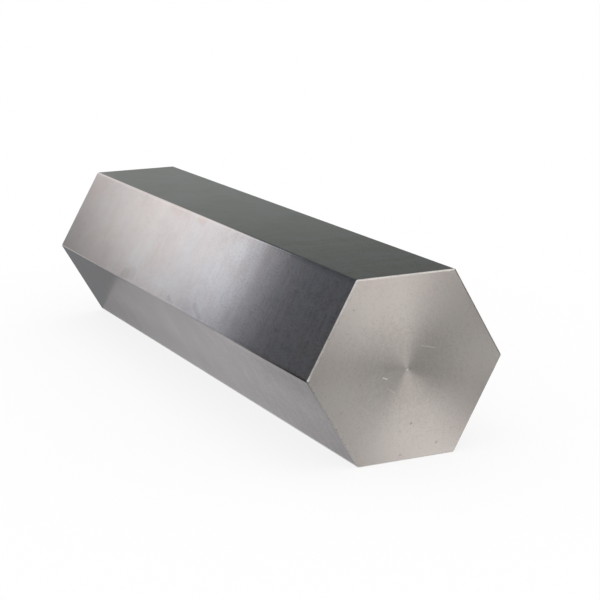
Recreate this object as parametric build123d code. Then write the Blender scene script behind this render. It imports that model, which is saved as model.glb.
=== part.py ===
from build123d import *
import os

# Hexagonal bar stock: a short length of bright steel bar, sold by its size across the flats.
#
# It is one solid piece. The section is a regular hexagon whose six long corners are eased by a
# small radius. Both ends are faced square to the bar, and the rim of each end is broken by a small
# chamfer that runs on round the eased corners.
#
# The bar lies on one flat. The origin is the middle of that flat, +X runs along the bar and +Z is
# up. Sizes are in millimetres.

across_flats = 50.0
bar_length = 200.0
corner_radius = 0.8
rim_chamfer = 0.4


def hexagon_section():
    """The hexagon across the middle of the bar, a flat down on Z = 0, with its corners eased."""
    with BuildSketch(Plane.YZ) as section:
        with Locations((0, across_flats / 2)):
            RegularPolygon(across_flats / 2, side_count=6, major_radius=False)
        fillet(section.vertices(), corner_radius)
    return section.sketch


def hexagon_bar():
    """The whole bar: the section carried to both ends, and the rim of each faced end broken."""
    with BuildPart() as bar:
        extrude(hexagon_section(), amount=bar_length / 2, both=True)
        end_faces = bar.faces().filter_by(Axis.X)
        chamfer(end_faces.edges(), rim_chamfer)
    return bar.part


os.makedirs("parts", exist_ok=True)
export_step(hexagon_bar(), "parts/hex_bar.step")
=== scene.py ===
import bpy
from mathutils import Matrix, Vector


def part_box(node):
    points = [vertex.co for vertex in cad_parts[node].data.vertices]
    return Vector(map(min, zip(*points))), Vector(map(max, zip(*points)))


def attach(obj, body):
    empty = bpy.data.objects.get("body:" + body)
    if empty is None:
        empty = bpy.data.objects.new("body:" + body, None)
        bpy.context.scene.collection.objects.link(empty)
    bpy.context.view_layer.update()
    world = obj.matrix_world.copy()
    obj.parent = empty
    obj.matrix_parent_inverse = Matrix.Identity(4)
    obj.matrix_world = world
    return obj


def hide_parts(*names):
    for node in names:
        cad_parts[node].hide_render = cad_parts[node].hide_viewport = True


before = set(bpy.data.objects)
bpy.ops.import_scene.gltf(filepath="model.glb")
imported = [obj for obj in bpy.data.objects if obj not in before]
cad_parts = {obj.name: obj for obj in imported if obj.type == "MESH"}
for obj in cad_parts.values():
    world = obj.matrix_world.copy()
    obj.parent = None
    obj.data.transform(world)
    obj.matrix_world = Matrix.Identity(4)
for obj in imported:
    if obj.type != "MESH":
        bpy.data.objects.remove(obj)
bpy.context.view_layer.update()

import math

import bpy
from mathutils import Matrix, Vector

MM = 0.001


# The bar
# One length of hexagonal steel bar, ground bright on its six flats, whose long corners are eased.
# It was cut off and faced in a lathe at both ends, and the rim of each end was then broken with a
# fine file, which left a narrow bright line all round it.
low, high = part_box("hex_bar")
half_flats = (high.z - low.z) / 2
half_length = (high.x - low.x) / 2
bar_inputs = {
    "Half flats": half_flats,
    "Half length": half_length,
    "Corner radius": 0.8 * MM,
    "Rim break": 0.4 * MM,
    "Rim unevenness": 0.20,
    "Rim roundness": 0.60,
    "End hollow": 0.03 * MM,
    "Nub height": 0.02 * MM,
    "Nub radius": 0.45 * MM,
    "Seed": 3.0,
}
columns = 96
skin_rows = 24
rim_rows = 3
end_rings = 28
sixth_turn = math.radians(60)
weld_distance = 0.002 * MM
crease_angle = math.radians(25)


class Wire:
    """A socket of a node tree. A sum written with wires adds the nodes that work it out."""

    def __init__(self, tree, socket=None):
        self.tree = tree
        self.socket = socket

    def node(self, kind, settings=None, sockets=None, output=0):
        """Adds a node, its settings first and then the values or wires of its sockets."""
        made = self.tree.nodes.new(kind)
        for name, value in (settings or {}).items():
            setattr(made, name, value)
        for key, value in (sockets or {}).items():
            if isinstance(value, Wire):
                self.tree.links.new(value.socket, made.inputs[key])
            else:
                made.inputs[key].default_value = value
        return Wire(self.tree, made.outputs[output])

    def math(self, operation, *others):
        return self.node("ShaderNodeMath", {"operation": operation}, dict(enumerate((self, *others))))

    def vector(self, operation, *others, output="Vector"):
        sockets = dict(enumerate((self, *others)))
        return self.node("ShaderNodeVectorMath", {"operation": operation}, sockets, output)

    def __add__(self, other):
        return self.math("ADD", other)

    __radd__ = __add__

    def __sub__(self, other):
        return self.math("SUBTRACT", other)

    def __rsub__(self, other):
        return self.node("ShaderNodeMath", {"operation": "SUBTRACT"}, {0: other, 1: self})

    def __mul__(self, other):
        return self.math("MULTIPLY", other)

    __rmul__ = __mul__

    def __truediv__(self, other):
        return self.math("DIVIDE", other)

    def __pow__(self, other):
        return self.math("POWER", other)

    def part(self, axis):
        """A vector's X, Y or Z, for axis 0, 1 or 2."""
        return self.node("ShaderNodeSeparateXYZ", {}, {0: self}, axis)

    def rise(self, start, end):
        """Goes smoothly from 0 where this wire is start to 1 where it is end."""
        limits = {"Value": self, "From Min": start, "From Max": end}
        return self.node("ShaderNodeMapRange", {"interpolation_type": "SMOOTHSTEP"}, limits)

    def blend(self, first, second):
        """The colour that goes from first to second as this wire goes from 0 to 1."""
        return self.node("ShaderNodeMix", {"data_type": "RGBA"}, {0: self, 6: first, 7: second}, 2)

    def feed(self, shader, name):
        self.tree.links.new(self.socket, shader.inputs[name])


def bar_tree():
    """Bends three grids into the skin, the rim and the end face, then turns and joins them."""
    tree = bpy.data.node_groups.new("hexagonal_bar", "GeometryNodeTree")
    tree.interface.new_socket("Geometry", in_out="OUTPUT", socket_type="NodeSocketGeometry")
    for name in bar_inputs:
        tree.interface.new_socket(name, in_out="INPUT", socket_type="NodeSocketFloat")
    for name in ("Ground flat", "Faced end", "Broken rim"):
        tree.interface.new_socket(name, in_out="INPUT", socket_type="NodeSocketMaterial")
    inputs = tree.nodes.new("NodeGroupInput").outputs
    given = {socket.name: Wire(tree, socket) for socket in inputs if socket.name}
    half, reach, corner = given["Half flats"], given["Half length"], given["Corner radius"]
    roundness = given["Rim roundness"]

    # A grid's X goes once round the bar and its Y goes from one edge of the surface to the other.
    start = Wire(tree)
    place = start.node("GeometryNodeInputPosition")
    turn = place.part(0) + 0.5
    way = place.part(1) + 0.5
    sixth = (turn * 6).math("FLOOR")
    share = turn * 6 - sixth

    def rim_width(mirrored):
        """How far the file went, which changes a little on the way round the end."""
        facing = (sixth + share + 0.25) * sixth_turn
        across = facing.math("COSINE") * (-1 if mirrored else 1)
        around = start.node("ShaderNodeCombineXYZ", {}, {0: across, 1: facing.math("SINE")})
        sockets = {"Vector": around, "W": given["Seed"], "Scale": 2.6, "Detail": 3.0}
        waver = start.node("ShaderNodeTexNoise", {"noise_dimensions": "4D"}, sockets) - 0.5
        return given["Rim break"] * (waver * given["Rim unevenness"] * 2 + 1)

    def section(inset):
        """Across and up from the bar's middle line. Each sixth is a flat and the corner after it."""
        along_flat = (share * 2).math("MINIMUM", 1.0) * 2 - 1
        swing = (share * 2 - 1).math("MAXIMUM", 0.0) * sixth_turn
        bend = corner - inset
        out = half - corner + bend * swing.math("COSINE")
        side = (half - corner) * math.tan(sixth_turn / 2) * along_flat + bend * swing.math("SINE")
        square_on = (sixth + 0.5) * sixth_turn
        cosine, sine = square_on.math("COSINE"), square_on.math("SINE")
        return out * cosine - side * sine, out * sine + side * cosine

    def patch(rows, x, y, z):
        """A grid of that many rows, bent to the place given. It is shaded smooth at the long corners."""
        counts = {"Size X": 1.0, "Size Y": 1.0, "Vertices X": columns + 1, "Vertices Y": rows + 1}
        grid = start.node("GeometryNodeMeshGrid", {}, counts)
        rounded = share.math("GREATER_THAN", 0.5)
        shaded = start.node("GeometryNodeSetShadeSmooth", {"domain": "FACE"}, {0: grid, 1: rounded})
        bent = start.node("ShaderNodeCombineXYZ", {}, {0: x, 1: y, 2: z + half})
        return start.node("GeometryNodeSetPosition", {}, {"Geometry": shaded, "Position": bent})

    rim = rim_width(mirrored=False)
    skin_end, other_skin_end = reach - rim, reach - rim_width(mirrored=True)
    across, up = section(0.0)
    skin = patch(skin_rows, way * skin_end - (1 - way) * other_skin_end, across, up)

    quarter = way * math.radians(90)
    depth = (1 - way) * (1 - roundness) + (1 - quarter.math("SINE")) * roundness
    inset = way * (1 - roundness) + (1 - quarter.math("COSINE")) * roundness
    across, up = section(rim * inset)
    edge = patch(rim_rows, reach - rim * depth, across, up)

    # The end's rows run from the rim inwards, so that its faces look outwards, as the rim's do.
    outward = (1 - way) * (1 - way)
    across, up = section(rim)
    radius = (across * across + up * up) ** 0.5 * outward
    nub = (0 - (radius / given["Nub radius"]) ** 2).math("EXPONENT") * given["Nub height"]
    hollow = (1 - outward * outward) * given["End hollow"]
    face = patch(end_rings, reach - hollow + nub, across * outward, up * outward)

    def joined(*surfaces):
        made = tree.nodes.new("GeometryNodeJoinGeometry")
        for surface in surfaces:
            tree.links.new(surface.socket, made.inputs[0])
        return Wire(tree, made.outputs[0])

    one_end = joined(edge, face)
    half_turn = {"Geometry": one_end, "Rotation": (0, 0, math.radians(180))}
    other_end = start.node("GeometryNodeTransform", {}, half_turn)
    apart = {"Geometry": joined(skin, one_end, other_end), "Distance": weld_distance}
    welded = start.node("GeometryNodeMergeByDistance", {}, apart)
    crisp = start.node("GeometryNodeInputMeshEdgeAngle").math("GREATER_THAN", crease_angle)
    creased = start.node("GeometryNodeSetShadeSmooth", {"domain": "EDGE"}, {0: welded, 1: crisp, 2: False})
    dressed = start.node("GeometryNodeRealizeInstances", {}, {0: creased})

    # Each finish goes on the faces that look endwise by more than its number, over the one before it.
    endwise = start.node("GeometryNodeInputNormal").part(0).math("ABSOLUTE")
    for steepness, name in ((-1.0, "Ground flat"), (0.1, "Broken rim"), (0.95, "Faced end")):
        chosen = endwise.math("GREATER_THAN", steepness)
        sockets = {"Geometry": dressed, "Selection": chosen, "Material": given[name]}
        dressed = start.node("GeometryNodeSetMaterial", {}, sockets)
    tree.links.new(dressed.socket, tree.nodes.new("NodeGroupOutput").inputs[0])
    return tree


def new_finish(name):
    """A metal material, its shader, and its place on the bar in metres."""
    material = bpy.data.materials.new(name)
    material.use_nodes = True
    shader = material.node_tree.nodes["Principled BSDF"]
    shader.inputs["Metallic"].default_value = 1.0
    place = Wire(material.node_tree).node("ShaderNodeTexCoord", output="Object")
    return material, shader, place


def noise(place, spacing, detail=2.0):
    """Cloudy noise about zero, whose lumps are spacing millimetres apart along X, Y and Z."""
    scale = tuple(1 / (length * MM) for length in spacing)
    scaled = place.node("ShaderNodeMapping", {"vector_type": "POINT"}, {"Vector": place, "Scale": scale})
    return place.node("ShaderNodeTexNoise", {}, {"Vector": scaled, "Scale": 1.0, "Detail": detail}) - 0.5


def leaned(slope, direction):
    """The surface normal, leaned by slope along direction."""
    normal = slope.node("ShaderNodeNewGeometry", output="Normal")
    lean = slope.node("ShaderNodeVectorMath", {"operation": "SCALE"}, {0: direction, "Scale": slope})
    return normal.vector("ADD", lean).vector("NORMALIZE")


def stroke(place, first, last, half_width):
    """1 on the straight mark between two points given in millimetres, and 0 away from it."""
    soft_edge = 0.3
    first, last = Vector(first) * MM, Vector(last) * MM
    run = last - first
    from_first = place.vector("SUBTRACT", tuple(first))
    along = from_first.vector("DOT_PRODUCT", tuple(run / run.length_squared), output="Value")
    along = along.math("MAXIMUM", 0.0).math("MINIMUM", 1.0)
    nearest = along.node("ShaderNodeVectorMath", {"operation": "SCALE"}, {0: tuple(run), "Scale": along})
    gap = from_first.vector("DISTANCE", nearest, output="Value")
    return 1 - gap.rise(soft_edge * half_width * MM, half_width * MM)


def marked(place, colour, marks, mark_colour, evenness=1.0):
    """Lays marks over a colour. A mark is its first point, last point, half width and strength."""
    for first, last, half_width, strength in marks:
        colour = (stroke(place, first, last, half_width) * evenness * strength).blend(colour, mark_colour)
    return colour


def corner_gap(place):
    """How far a place on a flat is from the nearer long corner."""
    centred = place.vector("SUBTRACT", (0.0, 0.0, half_flats))
    reaches = []
    for degrees in (30, 90, 150):
        square_on = (0.0, math.cos(math.radians(degrees)), math.sin(math.radians(degrees)))
        reaches.append(centred.vector("DOT_PRODUCT", square_on, output="Value").math("ABSOLUTE"))
    a, b, c = reaches
    next_flat = a.math("MINIMUM", b).math("MAXIMUM", a.math("MAXIMUM", b).math("MINIMUM", c))
    return (half_flats - next_flat) / math.sin(sixth_turn)


# The flats' colours, the marks that they have picked up, and a painted highlight and painted shade along
# two long corners. Points and half widths are in millimetres.
ground_grey = (0.613, 0.623, 0.629, 1)
ground_warm = (0.676, 0.619, 0.596, 1)
ground_dull = (0.538, 0.531, 0.529, 1)
ground_bright = (0.680, 0.665, 0.650, 1)
corner_highlight_bright = (0.820, 0.805, 0.795, 1)
stain_and_shade_grey = (0.420, 0.415, 0.412, 1)
stain_red = (0.560, 0.470, 0.440, 1)
stains_and_shade_line = [
    ((-37.5, -28.1, 26.3), (-31.5, -27.4, 27.5), 3.4, 0.60),
    ((1.5, -27.8, 26.9), (5.7, -28.6, 25.4), 1.1, 0.60),
    ((20.4, -27.0, 28.2), (27.1, -28.4, 25.8), 1.3, 0.65),
    ((11.0, -28.2, 26.2), (16.0, -28.0, 26.6), 3.4, 0.25),
    ((53.3, 5.4, 50.0), (53.5, 5.6, 50.0), 0.6, 0.60),
    # Painted shade: a dark reflection just under the upper long corner on the -Y side, over the near end,
    # drawn as a stain.
    ((62.0, -14.85, 49.28), (100.0, -14.85, 49.28), 0.9, 0.45),
]
blooms = [
    ((-3.0, -14.9, 49.2), (0.5, -15.2, 48.7), 2.2, 0.50),
    ((-24.0, -14.9, 49.2), (-19.0, -15.2, 48.7), 2.4, 0.35),
    ((-96.0, -17.5, 44.7), (-88.0, -15.5, 48.2), 5.0, 0.18),
    ((-24.0, -23.5, 34.3), (-14.0, -20.5, 39.5), 7.0, 0.12),
]
# Painted highlight: a light line along the long corner on the -Y side, over the near part of the bar.
painted_corner_highlights = [((40.0, -28.4, 24.2), (100.0, -28.4, 24.2), 1.6, 0.30)]
grip = ((62.0, -21.0, 37.5), (96.0, -21.0, 37.5), 17.0)


def ground_finish():
    """Fine grain across the bar from the grinding wheel, faint chatter bands, grime, worn corners, and a
    painted highlight and painted shade along two long corners.
    """
    worn_edge = (0.35 * MM, 1.1 * MM)
    worn_waver = 0.8 * MM
    worn_fades = (-10 * MM, 60 * MM)
    handled_part = (-10 * MM, 95 * MM)
    back_flats = (13 * MM, 18 * MM)
    material, shader, place = new_finish("ground_flat")
    cloud = noise(place, (30, 24, 24))
    patchy = noise(place, (9, 7, 7))
    mottle = noise(place, (5, 2.5, 2.5))
    band = noise(place, (6, 50, 50))
    pass_mark = noise(place, (2.2, 16, 16))
    grain = noise(place, (0.8, 7, 7), 3.0)
    speckle = noise(place, (1.0, 0.5, 0.5))
    worn = 1 - (corner_gap(place) + patchy * worn_waver).rise(*worn_edge)
    along = place.part(0)
    front = 1 - place.part(1).rise(*back_flats)
    handled = along.rise(*handled_part) * (front * 1.05 + 0.15) + front * 0.10 + 0.25

    slope = (band * 0.004 + grain * 0.002) * handled
    leaned(slope, (1.0, 0.0, 0.0)).feed(shader, "Normal")

    rough = 0.150 + patchy * 0.03 + cloud * 0.03 + (grain + speckle + band) * 0.02
    (rough - worn * 0.03).feed(shader, "Roughness")

    warmth = cloud * 2.2 + patchy * 2.0 + band * 1.5 + 0.4
    colour = warmth.blend(ground_grey, ground_warm)
    close_marks = (pass_mark * 0.5 + band * 0.9 + speckle * 1.7 + grain * 0.5 + mottle * 0.8) * handled
    close_marks = close_marks + grain * (1 - front) * 0.9
    colour = (close_marks + patchy * 1.1 + cloud * 1.6 + 0.5).blend(colour, ground_dull)
    gripped = handled + stroke(place, *grip) * 1.3
    grime = (speckle * 0.8 + mottle * 0.4 + pass_mark * 0.3 + grain * 0.5) * gripped
    colour = grime.blend(colour, stain_and_shade_grey)
    # Real stains, and one painted dark reflection along the upper long corner on the -Y side.
    colour = marked(place, colour, stains_and_shade_line, stain_and_shade_grey, 0.8 + patchy * 1.5)
    colour = marked(place, colour, blooms, stain_red)
    colour = (worn * (0.6 - along.rise(*worn_fades) * 0.6)).blend(colour, ground_bright)
    # A painted highlight along the long corner on the -Y side, over the near part of the bar.
    colour = marked(place, colour, painted_corner_highlights, corner_highlight_bright, 0.8 + patchy)
    colour.feed(shader, "Base Color")
    return material


# The faced ends' colours, how steep and how lopsided the tool's fine rings are, and the marks that
# the near end has picked up.
faced_grey = (0.613, 0.577, 0.543, 1)
faced_warm = (0.631, 0.571, 0.543, 1)
faced_dull = (0.474, 0.439, 0.412, 1)
pit_brown = (0.250, 0.225, 0.205, 1)
nick_bright = (0.950, 0.930, 0.900, 1)
ring_steepness = 0.50
ring_skew = 0.7
pits = [
    ((100.0, 1.20, 9.80), (100.0, 1.40, 9.95), 0.42, 0.60),
    ((100.0, 8.80, 3.45), (100.0, 9.10, 3.70), 0.42, 0.50),
    ((100.0, -2.10, 1.65), (100.0, -1.80, 1.75), 0.38, 0.45),
    ((100.0, -19.2, 15.5), (100.0, -19.1, 15.6), 0.30, 0.35),
    ((100.0, -15.5, 42.2), (100.0, -15.4, 42.3), 0.30, 0.40),
    ((100.0, 4.30, 6.20), (100.0, 4.40, 6.25), 0.26, 0.30),
]
nicks = [
    ((100.0, -7.00, 23.30), (100.0, -5.80, 22.80), 0.26, 0.75),
    ((100.0, -5.88, 20.49), (100.0, -3.52, 18.72), 0.16, 0.30),
    ((100.0, 4.39, 30.56), (100.0, 8.44, 29.53), 0.20, 0.40),
    ((100.0, 0.10, 24.60), (100.0, 0.35, 24.85), 0.35, 0.45),
]


def faced_finish():
    """The lathe tool's rings, which spread the light outwards from the middle, with fine pores."""
    ring_pitch = 0.7 * MM
    slow_cut = 22 * MM
    open_pore = (0.13, 0.26)
    material, shader, place = new_finish("faced_end")
    middle = {"Vector": place, "Location": (0, 0, -half_flats), "Scale": (0, 1, 1)}
    centred = place.node("ShaderNodeMapping", {"vector_type": "POINT"}, middle)
    radius = centred.vector("LENGTH", output="Value")
    outward = centred.vector("NORMALIZE")
    grit = place.node("ShaderNodeTexWhiteNoise", {"noise_dimensions": "3D"}, {"Vector": place}, "Color")
    first_roll, second_roll = (grit.node("ShaderNodeSeparateColor", {}, {0: grit}, i) for i in range(2))
    # Two rolls added are gentle more often than steep, and their square makes the steepest lean outwards.
    even_rings = first_roll + second_roll - 1
    mean_square = 1 / 6
    fine_rings = even_rings + (even_rings * even_rings - mean_square) * ring_skew
    ring = {"W": radius / ring_pitch, "Scale": 1.0, "Detail": 2.0}
    ring = place.node("ShaderNodeTexNoise", {"noise_dimensions": "1D"}, ring) - 0.5
    slope = fine_rings * ring_steepness + ring * 0.01
    leaned(slope, outward).feed(shader, "Normal")

    pore = noise(place, (0.45, 0.45, 0.45))
    tone = noise(place, (0.7, 0.7, 0.7))
    lump = noise(place, (1.3, 1.3, 1.3))
    cloud = noise(place, (11, 11, 11))
    (0.295 + pore * 0.04 + cloud * 0.02).feed(shader, "Roughness")

    slow = 1 - radius.rise(0.0, slow_cut)
    colour = (tone * 3.0 + cloud * 1.5 + 0.5).blend(faced_grey, faced_warm)
    colour = (slow + pore * 1.3 + lump * 0.8 + ring * 0.2 + cloud * 0.5).blend(colour, faced_dull)
    colour = (pore.rise(*open_pore) * 0.18).blend(colour, pit_brown)
    colour = marked(place, colour, pits, pit_brown)
    colour = marked(place, colour, nicks, nick_bright)
    colour.feed(shader, "Base Color")
    return material


# The rim's colours: lightly and heavily filed, and at the front a painted shade on its upper half and a
# painted highlight on its lower half.
file_bright = (0.620, 0.592, 0.562, 1)
file_grey = (0.490, 0.468, 0.446, 1)
rim_shade_dark = (0.300, 0.286, 0.272, 1)
rim_highlight_bright = (0.850, 0.815, 0.775, 1)


def rim_finish():
    """Short file marks across the break, heavier in some places than in others. At the front, painted
    shade on the upper half and a painted highlight on the lower half.
    """
    front_corner = (-16 * MM, -13 * MM)
    middle_height = (23 * MM, 27 * MM)
    shade_lessens = (36 * MM, 46 * MM)
    material, shader, place = new_finish("broken_rim")
    streak = noise(place, (0.3, 0.8, 0.8))
    stretch = noise(place, (4, 4, 4))
    front = 1 - place.part(1).rise(*front_corner)
    height = place.part(2)
    upper = height.rise(*middle_height)
    # Painted shade on the front rim's upper half, lighter towards the top.
    shaded_upper_rim = front * upper * (1 - height.rise(*shade_lessens) * 0.8)
    colour = (streak * 2.4 + stretch * 2.0 + 0.4).blend(file_bright, file_grey)
    colour = (shaded_upper_rim * (0.8 + streak)).blend(colour, rim_shade_dark)
    # Painted highlight on the front rim's lower half.
    colour = (front * (1 - upper) * (0.9 + streak)).blend(colour, rim_highlight_bright)
    colour.feed(shader, "Base Color")
    (0.3 + streak * 0.2).feed(shader, "Roughness")
    return material


bar_mesh = bpy.data.meshes.new("hexagonal_bar")
shaper = bpy.data.objects.new("bar_shaper", bar_mesh)
bpy.context.scene.collection.objects.link(shaper)
shape_tree = bar_tree()
modifier = shaper.modifiers.new("bar", "NODES")
modifier.node_group = shape_tree
values = [*bar_inputs.values(), ground_finish(), faced_finish(), rim_finish()]
sockets = [socket for socket in shape_tree.interface.items_tree if socket.in_out == "INPUT"]
for socket, value in zip(sockets, values):
    modifier[socket.identifier] = value
graph = bpy.context.evaluated_depsgraph_get()
solid = bpy.data.meshes.new_from_object(shaper.evaluated_get(graph))
bpy.data.objects.remove(shaper)
bar = bpy.data.objects.new("ground_bar", solid)
bpy.context.scene.collection.objects.link(bar)
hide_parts("hex_bar")
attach(bar, "root")


# The floor
# A wide sheet of matt white paper that the bar lies on. Part of it glows to the camera and in
# reflections, so that it is as white as the background and the bar's shadow on it stays faint.
floor_reach = 8.0
paper_white = (0.88, 0.88, 0.88, 1)
paper_glow = 0.8
floor_mesh = bpy.data.meshes.new("floor")
square = [(-1, -1), (1, -1), (1, 1), (-1, 1)]
floor_mesh.from_pydata([(x * floor_reach, y * floor_reach, 0) for x, y in square], [], [(0, 1, 2, 3)])
floor = bpy.data.objects.new("floor", floor_mesh)
bpy.context.scene.collection.objects.link(floor)
paper = bpy.data.materials.new("floor")
paper.use_nodes = True
paper.node_tree.nodes.clear()
seen = Wire(paper.node_tree).node("ShaderNodeLightPath", output="Is Camera Ray")
for kind in ("Is Glossy Ray", "Is Transmission Ray"):
    seen = seen.math("MAXIMUM", seen.node("ShaderNodeLightPath", output=kind))
matt = seen.node("ShaderNodeBsdfDiffuse", {}, {"Color": paper_white})
glow = seen.node("ShaderNodeEmission", {}, {"Color": (1, 1, 1, 1), "Strength": 1.0})
sheet = seen.node("ShaderNodeMixShader", {}, {0: seen * paper_glow, 1: matt, 2: glow})
sheet.feed(seen.tree.nodes.new("ShaderNodeOutputMaterial"), "Surface")
floor_mesh.materials.append(paper)


# The cards
# Plain cards that only the polished bar sees: a wall past its far end with a bright panel on it, paper
# that lies past, beside and before the bar, and a bright panel and a dark flag before its near end.
# Left and right are as seen from the near end, and a pair of metres is where a soft edge starts and ends.
def card(name, corners, glow):
    """A card that only shows in reflections. glow works out its colour and brightness from its place."""
    data = bpy.data.meshes.new(name)
    data.from_pydata(corners, [], [range(len(corners))])
    made = bpy.data.objects.new(name, data)
    bpy.context.scene.collection.objects.link(made)
    material = bpy.data.materials.new(name)
    material.use_nodes = True
    material.node_tree.nodes.clear()
    place = Wire(material.node_tree).node("ShaderNodeTexCoord", output="Object")
    colour, strength = glow(*(place.part(axis) for axis in range(3)))
    light = place.node("ShaderNodeEmission", {}, {"Color": colour, "Strength": strength})
    light.feed(material.node_tree.nodes.new("ShaderNodeOutputMaterial"), "Surface")
    data.materials.append(material)
    made.visible_camera = False
    made.visible_diffuse = False
    made.visible_shadow = False


def lying(x0, x1, y0, y1):
    """Corners of a card that lies just over the floor."""
    lift = 0.2 * MM
    return [(x0, y0, lift), (x1, y0, lift), (x1, y1, lift), (x0, y1, lift)]


def standing(first, last, distance, top):
    """Corners of a card that stands at that distance from the near end, between two directions."""
    corners = []
    for degrees, z in ((first, 0.0), (last, 0.0), (last, top), (first, top)):
        turn = math.radians(degrees)
        corners.append((half_length + distance * math.cos(turn), distance * math.sin(turn), z))
    return corners


def back_wall(x, y, z):
    """A bright panel whose left edge leans, cold and dark to the left of it and greenish to the right."""
    panel_edge, leans_from, lean = -0.1185, 0.115, 0.614
    soft_edge, shaded_edge, shade_top = (-0.009, 0.010), (0.0, 0.060), (0.070, 0.110)
    panel_top, foot_top, climb = (0.132, 0.185), (0.018, 0.030), (0.030, 0.094)
    right_edge, step_height, step = (0.0, 0.03), (0.140, 0.190), 0.035
    dimmer_edge, far_left = (-0.080, -0.045), (-0.150, -0.125)
    side_fades, dark_fades, low_stretch = (0.070, 0.127), (0.150, 0.190), (0.058, 0.084)
    warm_turn, cold_turn, green_turn = (-0.125, -0.070), (-0.175, -0.145), (0.165, 0.225)
    inside = y - panel_edge - (z - leans_from) * lean
    low_down = 1 - z.rise(*shade_top)
    falling = 1 - low_down * (1 - inside.rise(*shaded_edge)) * 0.45
    right = (y + z.rise(*step_height) * step).rise(*right_edge)
    panel = inside.rise(*soft_edge) * falling * (1 - z.rise(*panel_top)) * (1 - right)
    foot = (1 - z.rise(*foot_top)) * 0.5
    bright = (z.rise(*climb) * 0.87 + foot + 0.29) * (1 - y.rise(*dimmer_edge) * 0.2)
    side = 0.27 - z.rise(*side_fades) * 0.14
    dark = 0.09 - z.rise(*dark_fades) * 0.026
    dark = dark - (1 - z.rise(*low_stretch)) * (1 - y.rise(*far_left)) * 0.06
    dark = dark + right * (side - dark)
    strength = panel * bright + (1 - panel) * dark
    warm = y.rise(*warm_turn).blend((1.0, 0.972, 1.00, 1), (1.0, 0.946, 0.938, 1))
    cold = y.rise(*cold_turn).blend((1.0, 0.99, 1.08, 1), (0.93, 1.0, 1.18, 1))
    green = z.rise(*green_turn).blend((0.945, 1.0, 0.958, 1), (0.910, 1.0, 0.972, 1))
    return panel.blend(right.blend(cold, green), warm), strength


def far_paper(x, y, z):
    """Plain grey."""
    return (0.98, 0.99, 1.02, 1), 0.225


def outer_paper(x, y, z):
    """Pale next to the far paper, and nearly black to the left of a slanting line."""
    slant = 1.60
    slanting_line = (0.025, 0.085)
    return (1.0, 0.985, 0.995, 1), 0.50 - (x - y * slant).rise(*slanting_line) * 0.44


def side_paper(x, y, z):
    """Brightest beside the bar's middle, a little darker close in, and nearly black on the left."""
    brightest, fall, outer_level, outside_level = 0.01, 11, 0.42, 0.04
    outer_part, close_part, farther_part = (-0.055, -0.042), (-0.0215, -0.0175), (-0.028, -0.021)
    close_fades, farther_grows = (-0.06, 0.02), (0.0, 0.05)
    outer_edge, edge_step, step_slant, near_end = (-0.098, -0.086), 0.052, 1.35, (0.034, 0.078)
    close_in = y.rise(*close_part) * (0.14 - x.rise(*close_fades) * 0.09)
    farther = (1 - y.rise(*farther_part)) * x.rise(*farther_grows) * 0.22
    inner = (0.475 - (x - brightest) ** 2 * fall) * (1 - close_in - farther)
    strength = inner + (1 - y.rise(*outer_part)) * (outer_level - inner)
    stepped = y - (x - y * step_slant).rise(*near_end) * edge_step
    outside = 1 - stepped.rise(*outer_edge)
    return (1.0, 0.968, 0.990, 1), strength + outside * (outside_level - strength)


def near_paper(x, y, z):
    """Bright close to the near end and dark farther off, with a still brighter strip on its right."""
    near_fades, right_fades, left_fades = (0.082, 0.245), (0.012, 0.059), (-0.096, -0.056)
    brighter_on, strip_starts, strip_turns = (-0.028, 0.014), (0.130, 0.160), (0.143, 0.203)
    strip_side, strip_turn, strip_edge, strip_level = 0.026, 0.053, (-0.004, 0.004), 1.40
    slant, slanting_line, beyond_level, farthest_level = 0.50, (-0.053, 0.093), 0.085, 0.005
    close = 1 - x.rise(*near_fades)
    by_the_end = (1 - y.rise(*right_fades)) * (0.357 + y.rise(*brighter_on) * 0.517)
    strength = close * by_the_end + farthest_level
    strength = strength - (1 - y.rise(*left_fades)) * strength * 0.25
    from_strip = y - x.rise(*strip_turns) * strip_turn - strip_side
    strip = from_strip.rise(*strip_edge) * x.rise(*strip_starts)
    strength = strength + strip * (strip_level - strength)
    beyond = (y - x * slant).rise(*slanting_line)
    return (0.985, 1.01, 1.01, 1), strength + beyond * (beyond_level - strength)


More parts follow.
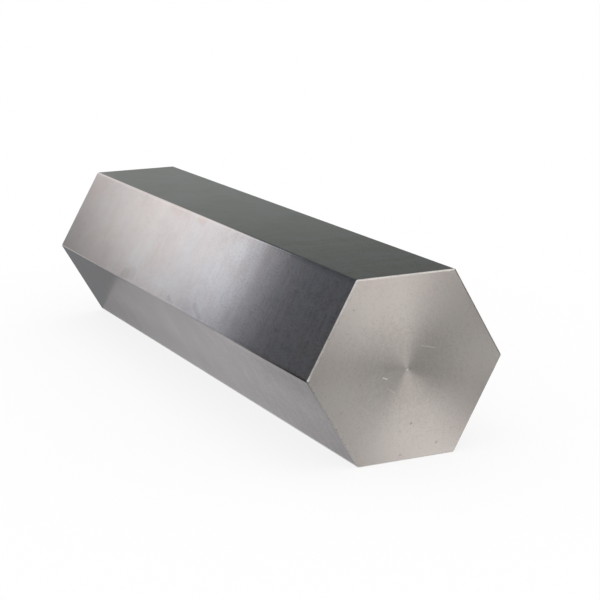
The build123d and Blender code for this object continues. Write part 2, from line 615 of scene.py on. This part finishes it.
def front_panel(x, y, z):
    """Bright, and dimmer at its foot."""
    foot = (-0.01, 0.024)
    return (1.0, 0.943, 0.932, 1), 0.65 + z.rise(*foot) * 0.85


def front_flag(x, y, z):
    """Nearly black."""
    return (1.0, 1.0, 1.0, 1), 0.02


back = -0.2
wide = 0.6
wall = [(back, -wide, 0), (back, wide, 0), (back, wide, wide), (back, -wide, wide)]
card("back_wall", wall, back_wall)
card("far_paper", lying(x0=back, x1=-half_length, y0=-0.08, y1=-0.01), far_paper)
card("outer_paper", lying(x0=back, x1=-half_length, y0=-0.22, y1=-0.08), outer_paper)
card("side_paper", lying(x0=-half_length, x1=half_length, y0=-0.22, y1=-0.0148), side_paper)
card("near_paper", lying(x0=half_length, x1=0.9, y0=-0.3, y1=0.7), near_paper)
card("front_panel", standing(first=0, last=40, distance=0.9, top=0.9), front_panel)
card("front_flag", standing(first=41, last=125, distance=0.8, top=0.5), front_flag)


# The light
# A large soft tent of light, a little brighter overhead than at the horizon.
tent_level = 1.0
more_overhead = 0.2
world = bpy.data.worlds.new("light_tent")
bpy.context.scene.world = world
world.use_nodes = True
upward = Wire(world.node_tree).node("ShaderNodeTexCoord", output="Generated").part(2)
brightness = upward.math("MAXIMUM", 0.0) * more_overhead + tent_level
background = world.node_tree.nodes["Background"]
background.inputs["Color"].default_value = (1, 1, 1, 1)
brightness.feed(background, "Strength")


# The camera
# It stands to the right of the bar's near end and a little above it, with a long lens.
camera_place = Vector((0.47410, -0.20886, 0.14388))
looking_at = Vector((0.03870, -0.00132, 0.03066))
camera_roll = math.radians(-0.6035)
lens = bpy.data.cameras.new("camera")
lens.lens = 102.52
lens.sensor_width = 36.0
lens.clip_start = 0.01
camera = bpy.data.objects.new("camera", lens)
aim = (looking_at - camera_place).to_track_quat("-Z", "Y").to_matrix().to_4x4()
camera.matrix_world = Matrix.Translation(camera_place) @ aim @ Matrix.Rotation(camera_roll, 4, "Z")
bpy.context.scene.collection.objects.link(camera)
bpy.context.scene.camera = camera
bpy.context.scene.view_settings.view_transform = "Standard"
